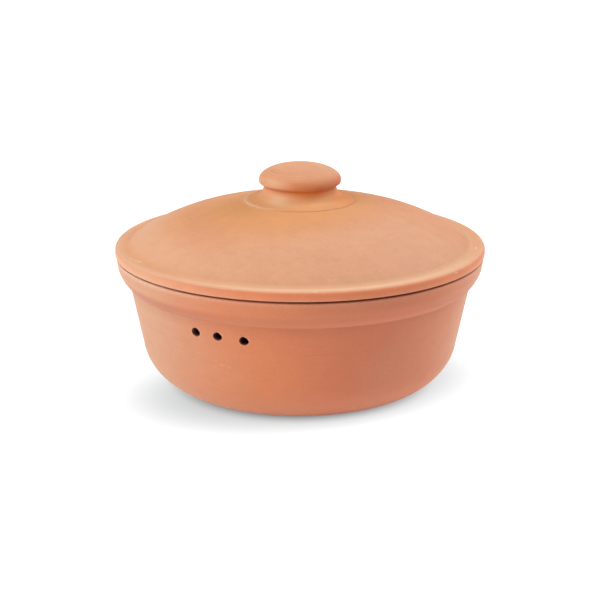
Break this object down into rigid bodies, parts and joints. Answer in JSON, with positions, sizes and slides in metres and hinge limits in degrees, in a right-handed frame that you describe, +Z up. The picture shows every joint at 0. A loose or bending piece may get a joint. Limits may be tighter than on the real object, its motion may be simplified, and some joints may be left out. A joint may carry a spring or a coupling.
{
  "type": "terracotta bread baker",
  "caption": "Round unglazed terracotta bread baker: a tapered pot with a thick collar and two opposite groups of steam vents, closed by a shallow domed lid with a button knob.",
  "frame": {"origin": "centre of the base on the surface the pot stands on", "axes": "+Z up along the turning axis, -Y through the middle of the front group of vents"},
  "size_m": [0.35, 0.35, 0.2108],
  "materials": {
    "pot_clay": "matte",
    "lid_clay": "matte"
  },
  "bodies": {
    "root": {"pot_body": "pot_clay", "lid": "lid_clay"}
  },
  "joints": []
}
